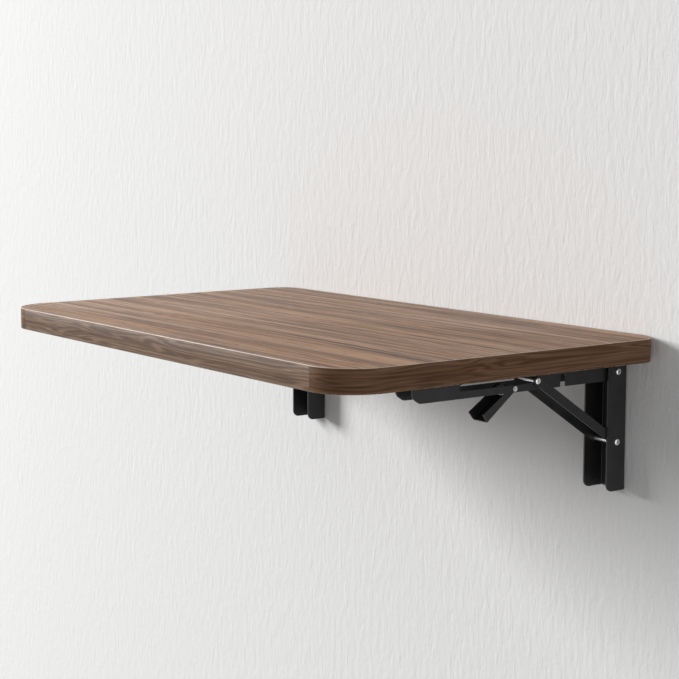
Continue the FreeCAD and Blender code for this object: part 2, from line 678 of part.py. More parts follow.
def build_lever(side, shift):
    """The channel lever: two plates from nose to tail, joined by a web under the tail."""
    lever = new_body(side + "_release_lever", x=shift)
    profile = new_sketch(lever, side + "_lever_profile", "YZ_Plane")
    draw_outline(profile, (("leverNoseY", "leverTopZ"), ("leverPinY", "leverTopZ"),
                           ("leverEndHighY", "leverEndHighZ"), ("leverEndLowY", "leverEndLowZ"),
                           ("leverHeelY", "leverHeelZ"), ("leverNoseY", "leverNoseZ")))
    pad(lever, profile, "2 * sizes.leverHalf", symmetric=True)
    round_tail(lever, side + "_lever_bend", "leverHalf", "leverHeelY", "leverHeelZ", "leverBend")
    inside = new_sketch(lever, side + "_lever_inside", "YZ_Plane")
    draw_outline(inside, (("leverCutRearY", "leverCutTopZ"), ("leverCutFrontY", "leverCutTopZ"),
                          ("leverCutFrontY", "leverWebLowZ"), ("leverWebLowY", "leverWebLowZ"),
                          ("leverWebHighY", "leverWebHighZ"), ("leverWebEndY", "leverWebEndZ"),
                          ("leverCutRearY", "leverWebEndZ")))
    pocket(lever, inside, "2 * sizes.leverInner", symmetric=True)
    round_tail(lever, side + "_lever_inner_bend", "leverInner",
               "leverWebHighY", "leverWebHighZ", "leverInnerBend")
    drill_across(lever, side + "_lever_axle_hole",
                 (("leverPinY", "leverPinZ", "leverPinHoleRadius"),))


def build_spring(side, shift):
    """A close wound torsion spring on the lever axle, one leg lying along the lever's web."""
    label = side + "_lever_spring"
    spring = new_body(label, x=shift, y="sizes.leverPinY", z="sizes.leverPinZ")
    profile = new_sketch(spring, label + "_turns", "XY_Plane")
    outline = [(f"coilEdge{coilCount}", "springInner"), ("coilEdge0", "springInner")]
    for turn in range(coilCount):
        outline.append((f"coilEdge{turn}", "springValley"))
        outline.append((f"coilCrest{turn}", "springOuter"))
    outline.append((f"coilEdge{coilCount}", "springValley"))
    draw_outline(profile, outline)
    revolve(spring, profile, "H_Axis")

    leg = spring.newObject("PartDesign::AdditiveCylinder", label + "_leg")
    leg.Placement = FreeCAD.Placement(
        FreeCAD.Vector(0, 0, 0), FreeCAD.Rotation(FreeCAD.Vector(1, 0, 0), 90))
    leg.setExpression("Radius", "sizes.springWireRadius")
    leg.setExpression("Height", "sizes.springLeg")
    leg.setExpression("Placement.Base.x", "sizes.coilCrest0")
    leg.setExpression("Placement.Base.y", "sizes.springValley * sin(sizes.leverSlope)")
    leg.setExpression("Placement.Base.z", "-sizes.springValley * cos(sizes.leverSlope)")
    leg.setExpression("Placement.Rotation.Angle", "90 + sizes.leverSlope")
    doc.recompute()


def build_board_screws(side, shift):
    label = side + "_board_screws"
    screws = new_body(label, x=shift, y="sizes.screwRearY")
    sketch = new_sketch(screws, label + "_profile", "XZ_Plane")
    zero = "centre"
    draw_outline(sketch, ((zero, "screwHeadBottom"), ("screwHeadRadius", "screwHeadBottom"),
                          ("screwHeadRadius", "screwHeadTop"), ("screwRadius", "screwHeadTop"),
                          ("screwRadius", "screwTaper"), (zero, "screwTip")))
    turned = revolve(screws, sketch, "V_Axis")
    row = screws.newObject("PartDesign::LinearPattern", label + "_row")
    row.Originals = [turned]
    row.Direction = (origin_part(screws, "Y_Axis"), [""])
    row.Reversed = True
    row.Occurrences = screwCount
    row.setExpression("Length", f"{screwCount - 1} * sizes.screwPitch")
    screws.Tip = row
    doc.recompute()


def build_bracket(side, sign):
    shift = f"{sign} * sizes.bracketSpacing / 2"
    build_leg(side, shift)
    build_arm(side, shift)
    build_bars(side, shift)
    build_axle(side + "_hinge_axle", shift, "pivotY", "pivotZ", "legHalf",
               "axleRadius", "headRadius", "legOuterHead", "legHeadDimple", True)
    build_axle(side + "_foot_axle", shift, "pivotY", "footZ", "legHalf",
               "axleRadius", "headRadius", "legOuterHead", "legHeadDimple", True)
    build_axle(side + "_lever_axle", shift, "leverPinY", "leverPinZ", "armHalf",
               "leverPinRadius", "leverHeadRadius", "leverHeadX", "leverHeadDimple", False)
    build_tube(side + "_hinge_washers", shift, "pivotY", "pivotZ", "washerInnerX",
               "sizes.washerThickness", "washerRadius", "axleHoleRadius", True)
    build_tube(side + "_foot_sleeve", shift, "pivotY", "footZ", "-sleeveHalf",
               "2 * sizes.sleeveHalf", "sleeveRadius", "axleHoleRadius", False)
    build_slide_axle(side, shift)
    build_rivets(side, shift)
    build_lever(side, shift)
    build_spring(side, shift)
    build_board_screws(side, shift)


def write_parts():
    """Check every object and every finished piece, then write one file each."""
    for item in doc.Objects:
        if "Invalid" in item.State or "Error" in item.State:
            raise RuntimeError(f"{item.Name} is {item.State}")
    pieces = [item for item in doc.Objects if item.TypeId == "PartDesign::Body"]
    for piece in pieces:
        if piece.Shape.isNull() or not piece.Shape.isValid() or not piece.Shape.Solids:
            raise RuntimeError(piece.Label + " has no valid shape")
    os.makedirs("parts", exist_ok=True)
    for piece in pieces:
        piece.Shape.exportStep(f"parts/{piece.Label}.step")
        print(piece.Label, len(piece.Shape.Solids), round(piece.Shape.Volume, 1))


sides = {"left": -1, "right": 1}
fill_sheet()
build_leaf()
for side, sign in sides.items():
    build_bracket(side, sign)
doc.recompute()
write_parts()
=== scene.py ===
import json
import math
import bmesh
import bpy
import numpy as np
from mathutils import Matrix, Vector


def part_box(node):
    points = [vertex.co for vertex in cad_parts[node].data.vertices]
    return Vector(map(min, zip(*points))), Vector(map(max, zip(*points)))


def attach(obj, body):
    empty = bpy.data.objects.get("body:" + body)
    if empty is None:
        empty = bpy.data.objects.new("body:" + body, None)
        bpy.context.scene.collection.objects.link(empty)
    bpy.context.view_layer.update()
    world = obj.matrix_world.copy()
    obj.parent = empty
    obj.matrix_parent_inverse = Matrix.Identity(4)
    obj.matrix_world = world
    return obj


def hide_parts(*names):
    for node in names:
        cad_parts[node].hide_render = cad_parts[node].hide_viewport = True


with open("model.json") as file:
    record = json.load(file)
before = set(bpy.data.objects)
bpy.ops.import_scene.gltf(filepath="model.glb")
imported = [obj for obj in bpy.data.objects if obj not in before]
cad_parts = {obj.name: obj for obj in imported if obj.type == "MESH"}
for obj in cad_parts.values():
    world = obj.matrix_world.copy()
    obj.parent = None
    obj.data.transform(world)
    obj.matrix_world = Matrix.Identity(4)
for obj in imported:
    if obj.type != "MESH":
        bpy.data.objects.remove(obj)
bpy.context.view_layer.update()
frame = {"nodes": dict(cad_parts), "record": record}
nodes = frame["nodes"]
record = frame["record"]
bodyOf = {node: body for body, members in record["behaviour"]["bodies"].items() for node in members}
slotOf = {part["node"]: part["material_slot"] for part in record["subparts"]}
print("frame loaded:", len(nodes), "nodes")


# camera, at the eye point that gives the leaf's edges their true directions
view = {
    "place": (1.58235, -1.32134, 0.33337),
    "turn": (82.753, 0.0, 53.892),    # degrees
    "lens": 90.116,                   # mm
    "sensor": 36.0,                   # mm wide
}


def setCamera():
    data = bpy.data.cameras.new("camera")
    data.lens = view["lens"]
    data.sensor_width = view["sensor"]
    camera = bpy.data.objects.new("camera", data)
    camera.location = view["place"]
    camera.rotation_euler = [math.radians(angle) for angle in view["turn"]]
    bpy.context.scene.collection.objects.link(camera)
    bpy.context.scene.camera = camera


setCamera()
bpy.context.scene.view_settings.view_transform = "Standard"
print("camera set")


# shader helpers: addNode links a socket or sets a value, by input name or number
def addNode(tree, kind, inputs=None, **settings):
    made = tree.nodes.new(kind)
    for name, value in settings.items():
        setattr(made, name, value)
    for key, value in (inputs or {}).items():
        if isinstance(value, bpy.types.NodeSocket):
            tree.links.new(value, made.inputs[key])
        else:
            made.inputs[key].default_value = value
    return made


def mathNode(tree, operation, a, b=0.0):
    return addNode(tree, "ShaderNodeMath", {0: a, 1: b}, operation=operation).outputs[0]


def times(tree, a, b):
    return mathNode(tree, "MULTIPLY", a, b)


def plus(tree, a, b):
    return mathNode(tree, "ADD", a, b)


def mixColour(tree, share, first, second):
    inputs = {0: share, 6: first, 7: second}
    return addNode(tree, "ShaderNodeMix", inputs, data_type="RGBA").outputs[2]


def scaled(tree, vector, factors):
    return addNode(tree, "ShaderNodeVectorMath", {0: vector, 1: factors}, operation="MULTIPLY").outputs[0]


# factors are waves per metre along the three axes of the vector
def noise(tree, vector, factors, detail=3.0, roughness=0.55, distortion=0.0):
    inputs = {"Vector": scaled(tree, vector, factors), "Scale": 1.0, "Detail": detail,
              "Roughness": roughness, "Distortion": distortion}
    return addNode(tree, "ShaderNodeTexNoise", inputs).outputs["Fac"]


def spread(tree, value, low, high, toLow=0.0, toHigh=1.0):
    inputs = {"Value": value, "From Min": low, "From Max": high, "To Min": toLow, "To Max": toHigh}
    return addNode(tree, "ShaderNodeMapRange", inputs).outputs["Result"]


def newGroup(name, inputs, outputs):
    group = bpy.data.node_groups.new(name, "ShaderNodeTree")
    for label, kind, value in inputs:
        socket = group.interface.new_socket(name=label, in_out="INPUT", socket_type=kind)
        if value is not None:
            socket.default_value = value
    for label, kind in outputs:
        group.interface.new_socket(name=label, in_out="OUTPUT", socket_type=kind)
    return group, group.nodes.new("NodeGroupInput"), group.nodes.new("NodeGroupOutput")


def newMaterial(name):
    material = bpy.data.materials.new(name)
    material.use_nodes = True
    shader = material.node_tree.nodes["Principled BSDF"]
    return material, material.node_tree, shader


# sawn walnut, in layers of noise: X of the coordinate runs along the grain, Y across it
grain = {
    "broad": {"factors": (1.5, 30.0, 30.0), "detail": 3.0, "roughness": 0.6, "distortion": 0.12},
    "streak": {"factors": (1.9, 140.0, 140.0), "detail": 4.0, "roughness": 0.6, "distortion": 0.05},
    "fibre": {"factors": (9.0, 1100.0, 1100.0), "detail": 2.0, "roughness": 0.7},
    "pores": {"factors": (55.0, 2300.0, 2300.0), "detail": 1.0},
    "bend": {"factors": (5.0, 30.0, 30.0), "detail": 2.0, "roughness": 0.5, "distortion": 0.8},
    "thread": {"factors": (3.6, 190.0, 190.0), "detail": 1.5, "roughness": 0.5, "distortion": 0.05},
    "patch": {"factors": (1.8, 22.0, 22.0), "detail": 2.0, "roughness": 0.5, "distortion": 0.2},
    "broadShare": 0.42,               # of the tone, beside the streaks
    "streakShare": 0.58,
    "toneIn": (0.30, 0.70),           # what counts as darkest and palest
    "toneReach": 0.30,                # either side of the middle tone
    "middleTone": 0.5,
    "ringRate": 620.0,                # radians per metre across the grain, of the arched figure
    "ringBend": 46.0,                 # radians that its lines wander
    "ringShare": 0.16,
    "fibreIn": (0.2, 0.8),
    "fibreReach": 0.15,
    "staveReach": 0.05,               # either side, from stave to stave
    "staveJump": (7.3, 3.1),          # metres that a stave's figure moves at most, along and through
    "darkToMiddle": (0.30, 0.50),     # tones between which one colour turns into the next
    "middleToLight": (0.47, 0.66),
    "paleThreads": (0.57, 0.66),
    "darkThreads": (0.43, 0.34),
    "poresIn": (0.60, 0.68),
    "poreShade": 0.55,
    "patchesIn": (0.42, 0.62),
    "greySaturation": 0.45,
    "greyValue": 0.92,
    "roughness": (0.50, 0.38),        # of dark and of pale wood
    "fibreHeight": 0.5,               # beside pores of depth 1
}


def makeWalnutGroup():
    group, given, result = newGroup("walnutFigure", (
        ("Vector", "NodeSocketVector", None),
        ("Stave Width", "NodeSocketFloat", 0.07),
        ("Figure", "NodeSocketFloat", 0.3),
        ("Fineness", "NodeSocketFloat", 1.0),
        ("Threads", "NodeSocketFloat", 0.5),
        ("Drift", "NodeSocketFloat", 0.3),
        ("Contrast", "NodeSocketFloat", 1.0),
        ("Dark", "NodeSocketColor", (0.05, 0.03, 0.02, 1)),
        ("Middle", "NodeSocketColor", (0.2, 0.12, 0.08, 1)),
        ("Light", "NodeSocketColor", (0.35, 0.22, 0.15, 1))),
        (("Color", "NodeSocketColor"), ("Roughness", "NodeSocketFloat"), ("Height", "NodeSocketFloat")))
    inlet = given.outputs
    # the figure runs finer across and through, and each stave shows another stretch of it
    fine = addNode(group, "ShaderNodeCombineXYZ",
                   {"X": 1.0, "Y": inlet["Fineness"], "Z": inlet["Fineness"]}).outputs[0]
    coordinate = scaled(group, inlet["Vector"], fine)
    across = addNode(group, "ShaderNodeSeparateXYZ", {0: coordinate}).outputs["Y"]
    stave = mathNode(group, "FLOOR", mathNode(group, "DIVIDE", across, inlet["Stave Width"]))
    chance = addNode(group, "ShaderNodeTexWhiteNoise", {"W": stave}, noise_dimensions="1D").outputs["Value"]
    along, through = grain["staveJump"]
    jump = addNode(group, "ShaderNodeCombineXYZ",
                   {"X": times(group, chance, along), "Z": times(group, chance, through)}).outputs[0]
    vector = addNode(group, "ShaderNodeVectorMath", {0: coordinate, 1: jump}).outputs[0]
    broad, streak, fibre, bend, thread = (
        noise(group, vector, **grain[layer]) for layer in ("broad", "streak", "fibre", "bend", "thread"))
    pores = spread(group, noise(group, vector, **grain["pores"]), *grain["poresIn"])
    patch = spread(group, noise(group, vector, **grain["patch"]), *grain["patchesIn"])
    rings = mathNode(group, "SINE", plus(group, times(group, across, grain["ringRate"]),
                                         times(group, bend, grain["ringBend"])))
    # tone: 0 is dark wood, 1 is pale
    reach, fibreReach, staveReach = grain["toneReach"], grain["fibreReach"], grain["staveReach"]
    tone = plus(group, times(group, broad, grain["broadShare"]), times(group, streak, grain["streakShare"]))
    tone = spread(group, tone, *grain["toneIn"], -reach, reach)
    tone = plus(group, times(group, tone, inlet["Contrast"]), grain["middleTone"])
    tone = plus(group, tone, times(group, times(group, rings, inlet["Figure"]), grain["ringShare"]))
    tone = plus(group, tone, spread(group, fibre, *grain["fibreIn"], -fibreReach, fibreReach))
    tone = plus(group, tone, spread(group, chance, 0.0, 1.0, -staveReach, staveReach))
    colour = mixColour(group, spread(group, tone, *grain["darkToMiddle"]), inlet["Dark"], inlet["Middle"])
    colour = mixColour(group, spread(group, tone, *grain["middleToLight"]), colour, inlet["Light"])
    # thin pale and dark threads along the grain, then the pores' dark dashes
    pale = times(group, spread(group, thread, *grain["paleThreads"]), inlet["Threads"])
    deep = times(group, spread(group, thread, *grain["darkThreads"]), inlet["Threads"])
    colour = mixColour(group, pale, colour, inlet["Light"])
    colour = mixColour(group, deep, colour, inlet["Dark"])
    colour = mixColour(group, times(group, pores, grain["poreShade"]), colour, inlet["Dark"])
    inputs = {"Saturation": grain["greySaturation"], "Value": grain["greyValue"], "Color": colour}
    grey = addNode(group, "ShaderNodeHueSaturation", inputs).outputs[0]
    colour = mixColour(group, times(group, patch, inlet["Drift"]), colour, grey)
    group.links.new(colour, result.inputs["Color"])
    group.links.new(spread(group, tone, *grain["toneIn"], *grain["roughness"]), result.inputs["Roughness"])
    height = mathNode(group, "SUBTRACT", times(group, fibre, grain["fibreHeight"]), pores)
    group.links.new(height, result.inputs["Height"])
    return group


# colours run dark, middle, light; the group's values are the width of a stave in metres, the strength
# of the arched figure, how much finer it runs, and the strength of the thin threads and of the streaks
walnut = {
    "drift": 0.22,                    # how far the wood wanders between warm and grey
    "bumpDepth": 0.00006,
    "bumpStrength": 0.5,
    "paintedHighlightColour": (0.92, 0.82, 0.73),  # painted highlight laid along the softened top edge
    "paintedHighlightLow": (0.10, 0.40),           # upward lean of the surface where the painted highlight begins
    "paintedHighlightHigh": (0.99, 0.90),          # and where it ends
    "finishes": {
        "walnut_top": {
            "name": "walnutTop",
            "colours": ((0.095, 0.0405, 0.017), (0.318, 0.150, 0.0655), (0.565, 0.304, 0.1465)),
            "map": "Object",
            "group": {"Stave Width": 0.072, "Figure": 0.35, "Fineness": 1.6,
                      "Threads": 0.80, "Contrast": 1.0},
            "gloss": 0.25,
            "paintedHighlight": 0.7,          # how much paler the softened edge is painted, a painted highlight
            "shift": 0.037,           # metres across the grain, which part of the figure shows
        },
        "walnut_underside": {
            "name": "walnutUnderside",
            "colours": ((0.066, 0.034, 0.019), (0.170, 0.092, 0.053), (0.26, 0.155, 0.097)),
            "map": "Object",
            "group": {"Stave Width": 0.14, "Figure": 0.35, "Fineness": 1.6,
                      "Threads": 0.80, "Contrast": 1.0},
            "gloss": 0.25,
        },
        "walnut_front_edge": {
            "name": "walnutFrontEdge",
            "colours": ((0.112, 0.067, 0.043), (0.210, 0.131, 0.086), (0.31, 0.203, 0.140)),
            "map": "UV",
            "group": {"Stave Width": 0.2, "Figure": 0.8, "Fineness": 2.2,
                      "Threads": 0.3, "Contrast": 0.6},
            "gloss": 0.11,
        },
        # the side band runs darker than the front band: partly its own veneer tone, partly painted shade of
        # the corners and ends that turn from the light
        "walnut_side_edge": {
            "name": "walnutSideEdgePaintedShade",
            "colours": ((0.092, 0.044, 0.021), (0.152, 0.078, 0.041), (0.21, 0.113, 0.061)),
            "map": "UV",
            "group": {"Stave Width": 0.2, "Figure": 0.9, "Fineness": 2.2,
                      "Threads": 0.3, "Contrast": 0.6},
            "gloss": 0.06,
        },
    },
}


def makeWalnut(wood):
    material, tree, shader = newMaterial(wood["name"])
    place = addNode(tree, "ShaderNodeTexCoord").outputs[wood["map"]]
    if "shift" in wood:
        inputs = {"Vector": place, "Location": (0.0, wood["shift"], 0.0)}
        place = addNode(tree, "ShaderNodeMapping", inputs).outputs[0]
    figure = addNode(tree, "ShaderNodeGroup", node_tree=walnutGroup)
    tree.links.new(place, figure.inputs["Vector"])
    figure.inputs["Drift"].default_value = walnut["drift"]
    for label, value in wood["group"].items():
        figure.inputs[label].default_value = value
    for label, shade in zip(("Dark", "Middle", "Light"), wood["colours"]):
        figure.inputs[label].default_value = (*shade, 1.0)
    colour = figure.outputs["Color"]
    if "paintedHighlight" in wood:
        # painted highlight: the softened top edge is painted paler where the surface leans, neither level
        # nor upright
        normal = addNode(tree, "ShaderNodeTexCoord").outputs["Normal"]
        upward = addNode(tree, "ShaderNodeSeparateXYZ", {0: normal}).outputs["Z"]
        rim = times(tree, spread(tree, upward, *walnut["paintedHighlightLow"]), spread(tree, upward, *walnut["paintedHighlightHigh"]))
        colour = mixColour(tree, times(tree, rim, wood["paintedHighlight"]), colour, (*walnut["paintedHighlightColour"], 1.0))
    tree.links.new(colour, shader.inputs["Base Color"])
    tree.links.new(figure.outputs["Roughness"], shader.inputs["Roughness"])
    inputs = {"Strength": walnut["bumpStrength"], "Distance": walnut["bumpDepth"],
              "Height": figure.outputs["Height"]}
    bump = addNode(tree, "ShaderNodeBump", inputs)
    tree.links.new(bump.outputs[0], shader.inputs["Normal"])
    shader.inputs["Specular IOR Level"].default_value = wood["gloss"]
    return material


# small dents and mottle that powder coat, zinc and oiled steel share, each at its own scale
skin = {
    "mottle": {"factors": (45.0, 45.0, 45.0), "detail": 3.0, "roughness": 0.6},
    "mottleShare": 0.5,
    "dentDetail": 2.0,
    "dentShare": 0.5,
    "blendIn": (0.38, 0.66),
}


def makeSkinGroup():
    group, given, result = newGroup("metalSkin", (
        ("Vector", "NodeSocketVector", None),
        ("Fine Scale", "NodeSocketFloat", 900.0),
        ("Base", "NodeSocketColor", (0.02, 0.02, 0.02, 1)),
        ("Worn", "NodeSocketColor", (0.04, 0.04, 0.04, 1)),
        ("Smooth", "NodeSocketFloat", 0.35),
        ("Rough", "NodeSocketFloat", 0.5)),
        (("Color", "NodeSocketColor"), ("Roughness", "NodeSocketFloat"), ("Height", "NodeSocketFloat")))
    inlet = given.outputs
    dents = addNode(group, "ShaderNodeTexNoise", {"Vector": inlet["Vector"], "Detail": skin["dentDetail"],
                                                  "Scale": inlet["Fine Scale"]}).outputs["Fac"]
    mottle = noise(group, inlet["Vector"], **skin["mottle"])
    blend = spread(group, plus(group, times(group, dents, skin["dentShare"]),
                               times(group, mottle, skin["mottleShare"])), *skin["blendIn"])
    span = mathNode(group, "SUBTRACT", inlet["Rough"], inlet["Smooth"])
    rough = plus(group, times(group, blend, span), inlet["Smooth"])
    group.links.new(mixColour(group, blend, inlet["Base"], inlet["Worn"]), result.inputs["Color"])
    group.links.new(rough, result.inputs["Roughness"])
    group.links.new(dents, result.inputs["Height"])
    return group


# smooth and rough are the two ends of the roughness, scale is dents per metre, depth is in metres
metals = {
    "bumpStrength": 0.4,
    "finishes": {
        "board_core": {
            "name": "particleCore", "base": (0.42, 0.31, 0.20), "worn": (0.30, 0.21, 0.13),
            "metallic": 0.0, "smooth": 0.8, "rough": 0.9, "scale": 700.0, "depth": 0.0003,
        },
        "black_steel": {
            "name": "blackPowderCoat", "base": (0.011, 0.011, 0.012), "worn": (0.021, 0.021, 0.022),
            "metallic": 0.0, "smooth": 0.36, "rough": 0.50, "scale": 1500.0, "depth": 0.00004,
        },
        "zinc_pins": {
            "name": "zincPins", "base": (0.97, 0.97, 0.96), "worn": (0.88, 0.88, 0.87),
            "metallic": 1.0, "smooth": 0.30, "rough": 0.42, "scale": 600.0, "depth": 0.00002,
            "centre": 0.0018,         # radius of the dimpled middle of a head, painted darker as painted shade in the dimple, in metres
            "centreEdge": (1.15, 0.85),
            "centreColour": (0.42, 0.42, 0.42),
            "centreShade": 0.8,
        },
        "spring_steel": {
            "name": "springSteel", "base": (0.10, 0.10, 0.10), "worn": (0.06, 0.06, 0.06),
            "metallic": 1.0, "smooth": 0.3, "rough": 0.45, "scale": 900.0, "depth": 0.00001,
        },
        "zinc_screws": {
            "name": "zincScrews", "base": (0.70, 0.70, 0.69), "worn": (0.55, 0.55, 0.54),
            "metallic": 1.0, "smooth": 0.28, "rough": 0.45, "scale": 700.0, "depth": 0.00002,
        },
    },
}


def makeMetal(metal):
    material, tree, shader = newMaterial(metal["name"])
    surface = addNode(tree, "ShaderNodeGroup", node_tree=skinGroup)
    tree.links.new(addNode(tree, "ShaderNodeTexCoord").outputs["Object"], surface.inputs["Vector"])
    surface.inputs["Fine Scale"].default_value = metal["scale"]
    surface.inputs["Base"].default_value = (*metal["base"], 1.0)
    surface.inputs["Worn"].default_value = (*metal["worn"], 1.0)
    surface.inputs["Smooth"].default_value = metal["smooth"]
    surface.inputs["Rough"].default_value = metal["rough"]
    colour = surface.outputs["Color"]
    if "centre" in metal:
        # painted shade: the dimpled middle of each head is painted darker; U of the map is the distance
        # from the pin's own axis
        turned = addNode(tree, "ShaderNodeUVMap").outputs[0]
        outward = addNode(tree, "ShaderNodeSeparateXYZ", {0: turned}).outputs[0]
        outer, inner = (metal["centre"] * share for share in metal["centreEdge"])
        middle = spread(tree, outward, outer, inner, 0.0, metal["centreShade"])
        colour = mixColour(tree, middle, colour, (*metal["centreColour"], 1.0))
    tree.links.new(colour, shader.inputs["Base Color"])
    tree.links.new(surface.outputs["Roughness"], shader.inputs["Roughness"])
    bump = addNode(tree, "ShaderNodeBump", {"Strength": metals["bumpStrength"], "Distance": metal["depth"],
                                            "Height": surface.outputs["Height"]})
    tree.links.new(bump.outputs[0], shader.inputs["Normal"])
    shader.inputs["Metallic"].default_value = metal["metallic"]
    return material


walnutGroup = makeWalnutGroup()
skinGroup = makeSkinGroup()
finishes = {slot: makeWalnut(wood) for slot, wood in walnut["finishes"].items()}
finishes.update({slot: makeMetal(metal) for slot, metal in metals["finishes"].items()})
print("materials made:", len(finishes))


# the leaf: four straight sides and four corner arcs, in metres
leaf = {
    "frontCorner": 0.050,
    "backCorner": 0.030,
    "cornerSteps": 40,
    "sideSteps": 60,
    "topRound": 0.0007,      # softened top edge
    "underRound": 0.0001,    # crisp edge of the sheet underneath
    "roundSteps": 5,
    "bandThickness": 0.0012,
    "bandRound": 0.0002,
    "bandSteps": 3,
    "seam": 0.00012,         # half the joint line between the two edge bands
    "frontStart": 3.0,       # where the front band is cut from its roll, so that its figure differs
    "smoothAngle": 40.0,     # degrees between faces that still shade as one
}


# the leaf's edge, anticlockwise from the front right corner, from the box of the top laminate:
# an arc is centre + radius * (cos a, sin a), a side is start + (end - start) * share
# gives the points, their outward normals, and the length along the edge, closed by the whole length
def leafPath():
    low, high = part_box("top_laminate")
    front, back = leaf["frontCorner"], leaf["backCorner"]
    # centre, radius and first angle of each corner: front right, back right, back left, front left
    corners = ((high.x - front, low.y + front, front, -90.0), (high.x - back, high.y - back, back, 0.0),
               (low.x + back, high.y - back, back, 90.0), (low.x + front, low.y + front, front, 180.0))
    points, normals = [], []
    for i, (x, y, radius, first) in enumerate(corners):
        angles = np.radians(first + np.linspace(0.0, 90.0, leaf["cornerSteps"] + 1))
        ring = np.stack([np.cos(angles), np.sin(angles)], axis=1)
        points.append(np.array([x, y]) + radius * ring)
        normals.append(ring)
        nextX, nextY, nextRadius, nextFirst = corners[(i + 1) % 4]
        start = points[-1][-1]
        angle = math.radians(nextFirst)
        end = np.array([nextX + nextRadius * math.cos(angle), nextY + nextRadius * math.sin(angle)])
        share = np.linspace(0.0, 1.0, leaf["sideSteps"] + 1)[1:-1, None]
        points.append(start + (end - start) * share)
        normals.append(np.repeat(ring[-1:], len(share), axis=0))
    points, normals = np.concatenate(points), np.concatenate(normals)
    steps = np.linalg.norm(np.diff(np.concatenate([points, points[:1]]), axis=0), axis=1)
    return points, normals, np.concatenate([[0.0], np.cumsum(steps)])


def newPiece(name, vertices, faces):
    mesh = bpy.data.meshes.new(name)
    mesh.from_pydata(vertices.tolist(), [], faces)
    mesh.update()
    piece = bpy.data.objects.new(name, mesh)
    bpy.context.scene.collection.objects.link(piece)
    return piece


# the finish, the shading and the body of a piece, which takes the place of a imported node
def finishPiece(piece, node, smoothAngle):
    piece.data.materials.append(finishes[slotOf[node]])
    piece.data.polygons.foreach_set("use_smooth", np.ones(len(piece.data.polygons), dtype=bool))
    piece.data.set_sharp_from_angle(angle=math.radians(smoothAngle))
    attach(piece, bodyOf[node])
    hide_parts(node)


# a map that holds, at every corner of every face, the place (U, V) of its point
def addMap(piece, name, places):
    corners = np.zeros(len(piece.data.loops), dtype=np.int32)
    piece.data.loops.foreach_get("vertex_index", corners)
    layer = piece.data.uv_layers.new(name=name)
    layer.data.foreach_set("uv", places[corners].astype(np.float32).ravel())


# faces of a grid of points, row by row, whose columns close on themselves
def ringQuads(rows, columns):
    i, j = np.meshgrid(np.arange(rows - 1), np.arange(columns), indexing="ij")
    beside = (j + 1) % columns
    faces = [i * columns + j, i * columns + beside, (i + 1) * columns + beside, (i + 1) * columns + j]
    return np.stack(faces, axis=-1).reshape(-1, 4).tolist()


# the rings of points that open and close such a grid, the first turned to face outwards
def firstRing(rows, columns):
    return list(range(columns))[::-1]


def lastRing(rows, columns):
    return list(range((rows - 1) * columns, rows * columns))


# quarter circle of a profile: centre + radius * (cos a, sin a), as (offset outwards, height)
def roundedCorner(offset, height, radius, firstAngle, steps):
    angles = np.radians(firstAngle + np.linspace(0.0, 90.0, steps))
    return np.stack([offset + radius * np.cos(angles), height + radius * np.sin(angles)], axis=1)


# a sheet of the leaf's outline: the profile of its rim carried round the leaf's edge,
# point = edge + normal * offset at the profile's height, with flat faces above and below
def buildLaminate(name, node, reach):
    low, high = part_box(node)
    points, normals, _ = leafPath()
    rim = np.concatenate([[[0.0, low.z]],
                          roundedCorner(-reach, high.z - reach, reach, 0.0, leaf["roundSteps"])])
    grid = points[None, :, :] + normals[None, :, :] * rim[:, None, :1]
    heights = np.repeat(rim[:, 1][:, None], len(points), axis=1)
    vertices = np.concatenate([grid, heights[:, :, None]], axis=2).reshape(-1, 3)
    size = len(rim), len(points)
    piece = newPiece(name, vertices, ringQuads(*size) + [lastRing(*size), firstRing(*size)])
    finishPiece(piece, node, leaf["smoothAngle"])


# values of the edge's points read off at other places along it, straight from point to point
def readAt(places, lengths, values):
    closed = np.concatenate([values, values[:1]])
    return np.stack([np.interp(places, lengths, closed[:, k]) for k in (0, 1)], axis=1)


# an edge band from start to end along the leaf's edge: a closed profile of outer and inner face,
# point = edge + normal * offset at the profile's height
# its map holds the length along the edge and the height, in metres, for the grain
def buildBand(name, node, start, end, along):
    low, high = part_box(node)
    points, normals, lengths = leafPath()
    places = np.concatenate([[start], lengths[(lengths > start) & (lengths < end)], [end]])
    path, outward = readAt(places, lengths, points), readAt(places, lengths, normals)
    thickness, edge = leaf["bandThickness"], leaf["bandRound"]
    profile = np.concatenate([roundedCorner(-edge, high.z - edge, edge, 0.0, leaf["bandSteps"]),
                              [[-thickness, high.z], [-thickness, low.z]],
                              roundedCorner(-edge, low.z + edge, edge, -90.0, leaf["bandSteps"])])
    grid = path[:, None, :] + outward[:, None, :] * profile[None, :, :1]
    heights = np.repeat(profile[None, :, 1:], len(path), axis=0)
    vertices = np.concatenate([grid, heights], axis=2).reshape(-1, 3)
    size = len(path), len(profile)
    piece = newPiece(name, vertices, ringQuads(*size) + [firstRing(*size), lastRing(*size)])
    addMap(piece, "grain", np.stack([np.repeat(places, len(profile)) + along, vertices[:, 2]], axis=1))
    finishPiece(piece, node, leaf["smoothAngle"])


def buildLeaf():
    low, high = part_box("top_laminate")
    total = leafPath()[2][-1]
    frontRun = high.x - low.x - 2.0 * leaf["frontCorner"]
    seam = leaf["seam"]
    buildLaminate("topLaminate", "top_laminate", leaf["topRound"])
    buildLaminate("bottomLaminate", "bottom_laminate", leaf["underRound"])
    buildBand("sideEdgeBand", "side_edge_band", seam, total - frontRun - seam, 0.0)
    buildBand("frontEdgeBand", "front_edge_band", total - frontRun + seam, total - seam, leaf["frontStart"])
    print("leaf built")


buildLeaf()


